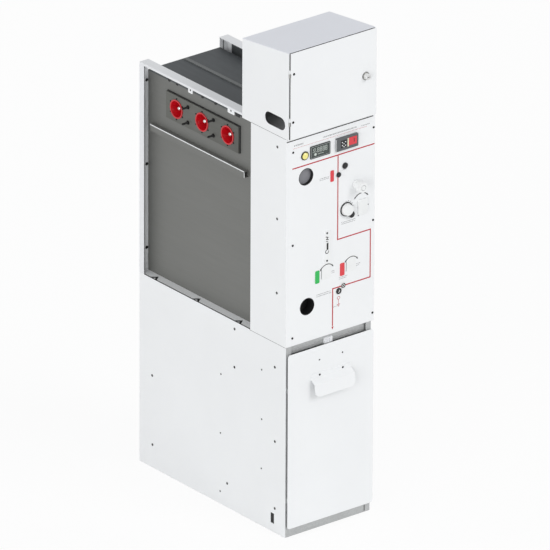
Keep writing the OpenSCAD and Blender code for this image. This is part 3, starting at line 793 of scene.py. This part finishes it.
def mimic_words():
    """Small dashes where the maker prints short notes."""
    dark = bmesh.new()
    for seed, (x, z, width, rows, height) in enumerate([
            (172, 807, 160, 1, 4.6), (36, 808, 44, 1, 5.0), (352, 805, 42, 1, 3.6),
            (158, 642, 40, 2, 2.4), (262, 650, 22, 1, 2.4), (262, 438, 66, 2, 2.6),
            (216, 254, 14, 2, 2.6), (334, 252, 14, 2, 2.6), (252, 218, 36, 2, 2.4),
            (146, 176, 64, 2, 2.8), (226, 106, 16, 1, 2.6)]):
        add_words(dark, x, z, width, rows, height, seed + 1)
    finish("mimic_words", dark, "grey_ink", ROOT, "dial", smooth=False)


def key_fittings():
    """Dots, slot and marks of the key strip, the round lock and the sealed screw below it."""
    mesh = bmesh.new()
    add_disc(mesh, 192, 416, 4.0, 0.5, STRIP_FRONT)
    add_disc(mesh, 192, 304, 4.0, 0.5, STRIP_FRONT)
    add_prism(mesh, plate(8, 28, 2), panel_place(194, 362, STRIP_FRONT), 0.4 * MM)
    add_stroke(mesh, arc(192, 341, 7, 100, 380, 18), 3.0, out=STRIP_FRONT)
    add_stroke(mesh, [(186, 402), (196, 398), (189, 391), (199, 388)], 3.2, out=STRIP_FRONT)
    add_stroke(mesh, [(187, 383), (197, 380)], 2.6, out=STRIP_FRONT)
    finish("key_strip_marks", mesh, "black_ink", ROOT, "black_plastic")

    ring = bmesh.new()
    add_tube(ring, panel_place(250, 165, 0), 12 * MM, 6.5 * MM, 3 * MM, 36)
    add_disc(ring, 245, 167, 6.5, 2.6, 0)
    finish("round_lock", ring, "black_plastic")
    plug = bmesh.new()
    add_disc(plug, 252, 163, 6.4, 2.0, 0, 0.5)
    add_disc(plug, *SEALED_SCREW, 10, 2.2, 0, 0.6)
    finish("lock_plugs", plug, "bright_metal")
    cross = bmesh.new()
    add_tube(cross, panel_place(*SEALED_SCREW, 2.2), 10 * MM, 7.6 * MM, 0.5 * MM, 32)
    x, z = SEALED_SCREW
    for a in (45, 135):
        dx, dz = 8 * math.cos(math.radians(a)), 8 * math.sin(math.radians(a))
        add_stroke(cross, [(x - dx, z - dz), (x + dx, z + dz)], 2.4, out=2.25)
    finish("sealed_screw_cross", cross, "black_plastic", smooth=False)


# Segments of a digit: both ends, in half digits across and up
SEGMENTS = {
    "a": ((0, 2), (1, 2)), "b": ((1, 1), (1, 2)), "c": ((1, 0), (1, 1)), "d": ((0, 0), (1, 0)),
    "e": ((0, 0), (0, 1)), "f": ((0, 1), (0, 2)), "g": ((0, 1), (1, 1)),
}


def display_face():
    """Liquid-crystal screen in the display's sunken front, with plain segments and icons."""
    x0, z0 = DISPLAY
    w, h = DISPLAY_SIZE
    glass = bmesh.new()
    outline = plate(w - 13.6, h - 13.6, 1.6)
    add_prism(glass, outline, panel_place(x0 + w / 2, z0 + h / 2, DISPLAY_FLOOR), 0.3 * MM)
    finish("display_screen", glass, "lcd", ROOT, "display_frame")
    marks = bmesh.new()
    level = DISPLAY_FLOOR + 0.3
    for i in range(4):
        left = x0 + 34 + 12.5 * i
        for (u0, v0), (u1, v1) in SEGMENTS.values():
            a = (left + 7 * u0, z0 + 22 + 8.5 * v0)
            b = (left + 7 * u1, z0 + 22 + 8.5 * v1)
            add_stroke(marks, [a, b], 1.7, out=level)
    add_stroke(marks, arc(x0 + 20, z0 + 34, 5, 0, 340, 18), 1.6, out=level)
    for i in range(4):
        add_stroke(marks, [(x0 + 12 + 5 * i, z0 + 25), (x0 + 15 + 5 * i, z0 + 25)], 1.6, out=level)
    add_disc(marks, x0 + 24, z0 + 15, 5.5, 0.15, level)
    for i in range(5):
        add_stroke(marks, [(x0 + 36 + 5.5 * i, z0 + 14), (x0 + 39.5 + 5.5 * i, z0 + 14)], 2.4, out=level)
    finish("display_marks", marks, "lcd_mark", ROOT, "dial", smooth=False)
    rim = bmesh.new()
    edge = rectangle(x0 + 4, z0 + 4, x0 + w - 4, z0 + h - 4)
    for i in range(4):
        add_stroke(rim, [edge[i], edge[(i + 1) % 4]], 1.3, out=DISPLAY_FRONT)
    finish("display_rim", rim, "rim_ink", ROOT, "dial", smooth=False)


def relay_face():
    """Protection relay: red square, cream bar and a field of small lamps on a dark face."""
    x0, z0 = RELAY
    out = RELAY_FRONT
    red = bmesh.new()
    add_prism(red, plate(37, 31, 1.5),
              panel_place(x0 + 76, z0 + 28, out), 0.8 * MM)
    finish("relay_red_field", red, "red_flag")
    cream = bmesh.new()
    add_prism(cream, plate(6, 34, 1),
              panel_place(x0 + 53.5, z0 + 26, out), 0.6 * MM)
    finish("relay_bar", cream, "cream_ink", ROOT, "white_plastic")
    dark = bmesh.new()
    add_prism(dark, plate(28, 30, 2),
              panel_place(x0 + 33, z0 + 25, out), 0.4 * MM)
    add_stroke(dark, [(x0 + 82, z0 + 22), (x0 + 82, z0 + 36)], 3.0, out=out + 0.8)
    finish("relay_dark_field", dark, "black_plastic")
    dots = bmesh.new()
    for x, z in ((26, 32), (26, 20), (33, 26), (41, 32), (41, 18), (33, 14)):
        add_disc(dots, x0 + x, z0 + z, 2.3, 0.8, out + 0.4, 0.3, 16)
    finish("relay_lamps", dots, "white_plastic")
    side = bmesh.new()
    low = on_panel(x0, z0)
    place = Matrix.Translation((low.x - 0.3 * MM, low.y, low.z + 2 * MM))
    add_prism(side, rectangle(0, -9.5 * MM, 0.3 * MM, 0), place, 47 * MM)
    finish("relay_side", side, "relay_side", ROOT, "dial", smooth=False)


def panel_rounds():
    """Black lining of the gauge's sunk window, which paints the shade on the window's wall, mouth ring of
    the test socket, button caps and disc cover.
    """
    rim = bmesh.new()
    # Black tube on the gauge window's wall: painted shade inside the recess.
    add_tube(rim, panel_place(*GAUGE, -13.5), 33.8 * MM, 32.4 * MM, 13.6 * MM, 48)
    add_tube(rim, panel_place(*TEST_SOCKET, SOCKET_FLOOR), 33.8 * MM, 32.2 * MM, 39.1 * MM, 48)
    finish("window_rims", rim, "black_plastic")
    dial = bmesh.new()
    add_disc(dial, *GAUGE, 32.0, 0.4, GAUGE_FACE, 0.1, 48)
    finish("gauge_dial", dial, "dial")
    caps = bmesh.new()
    for x, z, radius in ((276, 666, 9.5), (246, 637, 7.6)):
        add_disc(caps, x, z, radius, 1.6, 4.0, 0.8, 28)
    finish("button_caps", caps, "black_plastic")
    cover = bmesh.new()
    add_disc(cover, *DISC_COVER, 13.0, 5.2, 10.6, 1.0, 32)
    finish("disc_padlock_cover", cover, "black_plastic", "lower_disc")


def knob():
    """Turned knob with a grip groove and a ring on its front face."""
    place = panel_place(*UPPER_KNOB)
    profile = [(0, -8), (12, -8), (12, -2.3), (8, -2.3), (8, 0.3), (17.4, 0.3), (18, 0.9), (18, 5.7),
               (17.4, 6.3), (15, 6.3), (15, 22.4), (21.2, 22.4), (22, 23.2), (21.7, 28), (21.1, 28.6),
               (21.6, 29.2), (20.4, 44.6), (19.2, 46), (11, 46), (10.6, 44.8), (9.4, 44.8), (9, 46),
               (2.2, 46), (1.8, 44.9), (0, 44.9)]
    mesh = bmesh.new()
    add_lathe(mesh, place, [(r * MM, h * MM) for r, h in profile], 64)
    piece = finish("upper_knob_grip", mesh, "white_plastic", "upper_knob")
    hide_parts("upper_knob")
    ring = bmesh.new()
    add_tube(ring, panel_place(*UPPER_KNOB, KNOB_FRONT), 10.4 * MM, 9.6 * MM, 0.2 * MM, 40)
    finish("upper_knob_ring", ring, "grey_ink", "upper_knob", "dial", smooth=False)


# ---------------------------------------------------------------- switchgear section

def outward(side):
    return -1 if side == "left" else 1


def studs():
    """Threaded studs with hexagon nuts in the places of the CAD studs."""
    for side in ("left", "right"):
        node = "plate_studs_" + side
        low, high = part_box(node)
        base = high[0] if side == "left" else low[0]
        length = high[0] - low[0]
        radius, nut = 4 * MM, 8 * MM
        mesh = bmesh.new()
        for y in (low[1] + nut, high[1] - nut):
            for z in (low[2] + nut, high[2] - nut):
                place = frame_at(Vector((base, y, z)), (outward(side), 0, 0))
                add_lathe(mesh, place, [(0, 0), (nut, 0), (nut, 1 * MM), (0, 1 * MM)], 24)
                add_lathe(mesh, place, [(0, 1 * MM), (0.92 * nut, 1 * MM), (0.92 * nut, 3.6 * MM),
                                        (0.8 * nut, 4 * MM), (0, 4 * MM)], 24, sides=(1, 2, 3))
                turns, level = [(0, 4 * MM), (0.85 * radius, 4 * MM)], 4 * MM
                while level + 1.25 * MM < length - 1.2 * MM:
                    turns += [(radius, level + 0.62 * MM), (0.85 * radius, level + 1.25 * MM)]
                    level += 1.25 * MM
                turns += [(0.85 * radius, length - 0.8 * MM), (0.6 * radius, length), (0, length)]
                add_lathe(mesh, place, turns, 16)
        piece = finish("busbar_studs_" + side, mesh, "dark_screw", ROOT, "zinc")
        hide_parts(node)


def plate_screws():
    """Six small screws round each bushing."""
    for side in ("left", "right"):
        low, high = corners("bushings_" + side)
        radius = (high.z - low.z) / 2
        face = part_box("bushing_plate_" + side)[0 if side == "left" else 1][0]
        pitch = (high.y - low.y - 2 * radius) / 2
        mesh = bmesh.new()
        for i in range(3):
            centre = Vector((face, low.y + radius + i * pitch, (low.z + high.z) / 2))
            for k in range(6):
                a = math.radians(30 + 60 * k)
                spot = centre + Vector((0, math.cos(a), math.sin(a))) * (radius + 4.6 * MM)
                add_screw(mesh, spot, (outward(side), 0, 0), 2.6 * MM, 2.6 * MM)
        finish("bushing_screws_" + side, mesh, "dark_screw", ROOT, "zinc")


def plate_edge_shade():
    """Dark frame round each raised bushing plate: painted shade along the plate's edges."""
    for side in ("left", "right"):
        low, high = corners("bushing_plate_" + side)
        wall = high.x if side == "left" else low.x
        shade_band = 2.4 * MM
        mesh = bmesh.new()
        turn = frame_at(Vector((wall, (low.y + high.y) / 2, (low.z + high.z) / 2)), (outward(side), 0, 0))
        width, height = high.y - low.y, high.z - low.z
        outer = rounded(width + 2 * shade_band, height + 2 * shade_band, 3 * MM)
        inner = rounded(width, height, 1 * MM)
        flat = abs((turn.to_3x3() @ Vector((1, 0, 0))).z) > 0.5
        if flat:
            outer = [(y, x) for x, y in outer][::-1]
            inner = [(y, x) for x, y in inner][::-1]
        # Black frame round the plate: painted shade at its raised edges.
        add_frame(mesh, outer, inner, turn, 3 * MM)
        finish("plate_shade_frame_" + side, mesh, "black_plastic")


def side_place(side, y, z, out=0.0):
    """Matrix on a side plane: local X rearwards on the left side, local Y up, local Z outwards."""
    sign = outward(side)
    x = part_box("ledge_" + side)[0 if side == "left" else 1][0]
    turn = Matrix(((0, 0, sign), (-sign, 0, 0), (0, 1, 0))).to_4x4()
    return Matrix.Translation((x + sign * out * MM, y, z)) @ turn


def rail_lugs():
    """Lugs with holes, and small clips under each top rail's lip; a black disc in each hole is painted
    shade.
    """
    for side in ("left", "right"):
        low, high = corners("top_rail_" + side)
        lip = high.z - 9 * MM
        sheet = bmesh.new()
        dark = bmesh.new()
        for y, w in ((310, 26), (67, 40)):
            outer = plate(w, 24, 2)
            hole = plate(8, 8, 3.6)
            place = side_place(side, low.y + y * MM, lip - 4 * MM, -1.2)
            add_frame(sheet, outer, hole, place, 1.0 * MM)
            # Black disc in the lug's hole: painted shade inside the hole.
            add_prism(dark, hole, place, 0.3 * MM)
        for y in (438, 391, 239, 161):
            place = side_place(side, low.y + y * MM, lip - 5 * MM, -2.4)
            add_prism(dark, plate(12, 13, 1.5), place, 2.2 * MM)
        place = side_place(side, low.y + 28 * MM, lip - 5 * MM, -2.4)
        add_prism(dark, plate(24, 20, 1.5), place, 2.2 * MM)
        finish("rail_lugs_" + side, sheet, "white_paint")
        finish("rail_clips_" + side, dark, "black_plastic")


def rear_fixings():
    """Seal line and slotted fixings on the web of each rear post."""
    for side in ("left", "right"):
        low, high = corners("rear_post_" + side)
        edge = low.x if side == "left" else high.x
        sign = -outward(side)
        web = high.y - 2 * MM
        line = bmesh.new()
        x0, x1 = sorted((edge + sign * 21 * MM, edge + sign * 24 * MM))
        add_prism(line, rectangle(x0, web - 0.3 * MM, x1, web),
                  Matrix.Translation((0, 0, low.z + 3 * MM)), high.z - low.z - 8 * MM)
        finish("rear_post_seal_" + side, line, "black_plastic", smooth=False)
        bolts = bmesh.new()
        for z in (95, 436, 778):
            spot = Vector((edge + sign * 33 * MM, web, low.z + z * MM))
            add_screw(bolts, spot, (0, -1, 0), 5 * MM, 4 * MM)
        finish("rear_post_bolts_" + side, bolts, "dark_screw", ROOT, "zinc")


def ledge_marks():
    """Dark joint along each ledge's outer edge and the shadowed pointed notches."""
    for side in ("left", "right"):
        low, high = corners("ledge_" + side)
        edge = low.x if side == "left" else high.x
        sign = -outward(side)
        mesh = bmesh.new()
        x0, x1 = sorted((edge + sign * 0.3 * MM, edge + sign * 5.0 * MM))
        add_prism(mesh, rectangle(x0, low.y, x1, high.y), Matrix.Translation((0, 0, high.z)), 0.5 * MM)
        for i in range(3):
            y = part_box("top_rail_" + side)[0][1] + (28 + 254 * i) * MM
            x = edge + sign * 15 * MM
            points = [(-12, -20), (14, 0), (-12, 20), (-12, 9), (1, 0), (-12, -9)]
            outline = [(x + sign * u * MM, y + v * MM) for u, v in points]
            add_prism(mesh, outline, Matrix.Translation((0, 0, high.z)), 0.5 * MM)
        finish("ledge_marks_" + side, mesh, "black_plastic", smooth=False)


def channel_highlights():
    """Pale strip along each channel rail's outer top edge and front end: painted highlight where its edges
    catch the light.
    """
    for side in ("left", "right"):
        low, high = corners("channel_rail_" + side)
        face = low.x if side == "left" else high.x
        sign = outward(side)
        mesh = bmesh.new()
        # Pale paint on the rail's edges: painted highlight.
        x0, x1 = sorted((face, face + sign * 0.5 * MM))
        outline = rectangle(x0, low.y, x1, high.y)
        add_prism(mesh, outline, Matrix.Translation((0, 0, high.z - 3.8 * MM)), 4.1 * MM)
        outline = rectangle(x0, low.y, x1, low.y + 3 * MM)
        add_prism(mesh, outline, Matrix.Translation((0, 0, low.z)), high.z - low.z)
        finish("channel_edge_highlight_" + side, mesh, "rail_paint", smooth=False)


def ridge_cap():
    """Paler cap along the tank top's ridge, whose paler steel paints the highlight along the ridge."""
    low, high = corners("tank_top")
    mid = (low.x + high.x) / 2
    y0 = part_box("top_rail_left")[0][1] + 10 * MM
    y1 = high.y - 10 * MM
    mesh = bmesh.new()
    half = 8.4 * MM
    profile = [(-half, -4.0 * MM), (half, -4.0 * MM), (half, 0.2 * MM), (half - MM, 0.7 * MM),
               (-half + MM, 0.7 * MM), (-half, 0.2 * MM)]
    place = Matrix.Translation((mid, y1, high.z)) @ TO_FRONT
    add_prism(mesh, profile, place, y1 - y0)
    finish("tank_ridge_cap", mesh, "ridge_steel", ROOT, "tank_roof", smooth=False)


# ---------------------------------------------------------------- lower frame and box

# Small plain holes of the side panels: distance behind the panel's front, height, in mm
SIDE_HOLES = [(386, 534), (142, 639), (388, 292), (141, 437), (142, 235), (389, 52)]


def side_holes():
    """Rimmed plugs in the side panels' small holes, and a black sheet behind the low slot: painted shade
    inside the panel.
    """
    for side in ("left", "right"):
        low, high = corners(side + "_side_panel")
        face = low.x if side == "left" else high.x
        mesh = bmesh.new()
        for y, z in SIDE_HOLES:
            place = frame_at(Vector((face, low.y + y * MM, low.z + z * MM)), (outward(side), 0, 0))
            add_tube(mesh, place, 3.4 * MM, 2.2 * MM, 0.5 * MM, 20)
            add_lathe(mesh, place, [(0, 0), (2.2 * MM, 0), (2.2 * MM, 0.2 * MM), (0, 0.2 * MM)], 20)
        finish("side_hole_plugs_" + side, mesh, "dark_screw", ROOT, "black_plastic")
        # Black sheet behind the lift slot: painted shade of the space inside.
        inner = low.x if side == "right" else high.x
        back = bmesh.new()
        sign = outward(side)
        x0, x1 = sorted((inner, inner - sign * 0.8 * MM))
        outline = rectangle(x0, low.y + 62 * MM, x1, low.y + 90 * MM)
        add_prism(back, outline, Matrix.Translation((0, 0, low.z + 35 * MM)), 45 * MM)
        finish("lift_slot_shade_" + side, back, "black_plastic", smooth=False)


def door_seals():
    """Dark tape behind the box's door, and a black strip on the panel under the door: painted shadow
    beneath the door.
    """
    low, high = corners("lv_box")
    door_low, door_high = corners("lv_door")
    middle = Vector(((low.x + high.x) / 2, low.y, (door_low.z + door_high.z) / 2))
    width, height = high.x - low.x, door_high.z - door_low.z
    mesh = bmesh.new()
    outer = rounded(width - 10 * MM, height, 1 * MM)
    inner = rounded(width - 24 * MM, height - 20 * MM, 1 * MM)
    add_frame(mesh, outer, inner, Matrix.Translation(middle) @ TO_FRONT, 0.2 * MM)
    finish("door_seal", mesh, "black_plastic", smooth=False)
    # Black strip under the door: painted shadow of the door's underside.
    strip = bmesh.new()
    add_stroke(strip, [(0.5, 831), (410, 831)], 4.0, out=0.0)
    finish("door_underside_shadow", strip, "black_plastic", smooth=False)


def door_screws():
    """Screws of the door's hinges and of the cover."""
    low = corners("lv_door")[0]
    mesh = bmesh.new()
    for x, z in ((20, 262), (17, 69)):
        add_screw(mesh, low + Vector((x * MM, 0, z * MM)), (0, -1, 0), 4 * MM, 2.4 * MM)
    finish("door_screws", mesh, "dark_screw", "lv_door", "zinc")
    low, high = corners("cable_cover")
    mid = (low.x + high.x) / 2
    mesh = bmesh.new()
    handle_high = corners("cover_handle")[1]
    for side in (-1, 1):
        place = Vector((mid + side * 55 * MM, handle_high.y - 2.5 * MM, handle_high.z - 9 * MM))
        add_screw(mesh, place, (0, -1, 0), 3.4 * MM, 2.0 * MM)
        place = Vector((mid + side * 55 * MM, low.y, low.z + 655 * MM))
        add_screw(mesh, place, (0, -1, 0), 3.0 * MM, 1.6 * MM, washer=False)
    finish("cover_screws", mesh, "dark_screw", "cable_cover", "zinc")


def lock_trim():
    """Dark ring round the lock's rosette and the dark key slit in its barrel."""
    low, high = corners("lv_lock_rosette")
    mid = (low + high) / 2
    ring = bmesh.new()
    radius = (high.x - low.x) / 2
    place = frame_at(Vector((mid.x, high.y, mid.z)), (0, -1, 0))
    add_tube(ring, place, radius + 1.0 * MM, radius, 1.2 * MM, 36)
    finish("lock_ring", ring, "black_plastic", "lv_door")
    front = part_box("lv_lock")[0][1]
    slit = bmesh.new()
    place = Matrix.Translation((mid.x, front + 3.4 * MM, mid.z)) @ TO_FRONT
    add_prism(slit, plate(11, 1.8, 0.6), place, 0.6 * MM)
    place = Matrix.Translation((mid.x, front + 7 * MM, mid.z)) @ TO_FRONT
    add_tube(slit, place, 10.2 * MM, 9 * MM, 1.6 * MM, 32)
    finish("lock_slit", slit, "black_plastic", "lv_lock")


def shutters():
    """Raised cover of the upper opening and the two flat covers below it."""
    mesh = bmesh.new()
    for x, z, height in ((360, 479, 6.0), (191, 261, 0.8), (310, 261, 0.8)):
        outline = plate(44, 62, 8, 8)
        inset = plate(42.6, 60.6, 7.3, 8)
        place = panel_place(x, z)
        levels = [(outline, 0), (outline, (height - 0.5) * MM), (inset, height * MM)]
        loops = [[mesh.verts.new(place @ Vector((u, v, level))) for u, v in ring] for ring, level in levels]
        for a, b in zip(loops, loops[1:]):
            bridge(mesh, a, b)
        mesh.faces.new(loops[0])
        mesh.faces.new(loops[-1])
    piece = finish("shutter_plates", mesh, "white_plastic")
    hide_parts("access_shutters")


def right_gap_shade():
    """Dark sheet in the gap between the tank's top and the right top rail: painted shade of the shadowed
    space behind it.
    """
    low, high = corners("top_rail_right")
    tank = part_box("tank_top")[1][2]
    # Dark steel sheet: painted shade where the frame's inside lies in shadow.
    mesh = bmesh.new()
    x1 = high.x - 2.2 * MM
    y1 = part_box("rear_post_right")[0][1]
    outline = rectangle(x1 - 1.2 * MM, low.y, x1, y1)
    foot = tank - 36 * MM
    add_prism(mesh, outline, Matrix.Translation((0, 0, foot)), high.z - 2.2 * MM - foot)
    finish("right_rail_shade_sheet", mesh, "tank_roof", smooth=False)


def main():
    """Dresses the CAD nodes and adds every piece."""
    dress_cad_nodes()
    for step in (make_sheets, make_seams, panel_screws, side_screws, mimic_lines, mimic_symbols,
                 mimic_words, key_fittings, display_face, relay_face, panel_rounds, knob, studs,
                 plate_screws, plate_edge_shade, rail_lugs, rear_fixings, ledge_marks, channel_highlights,
                 ridge_cap, side_holes, door_seals, door_screws, lock_trim,
                 shutters, right_gap_shade):
        step()


make_camera()
make_lights()
make_floor()
main()

scene = bpy.context.scene
scene.view_settings.view_transform = "Standard"
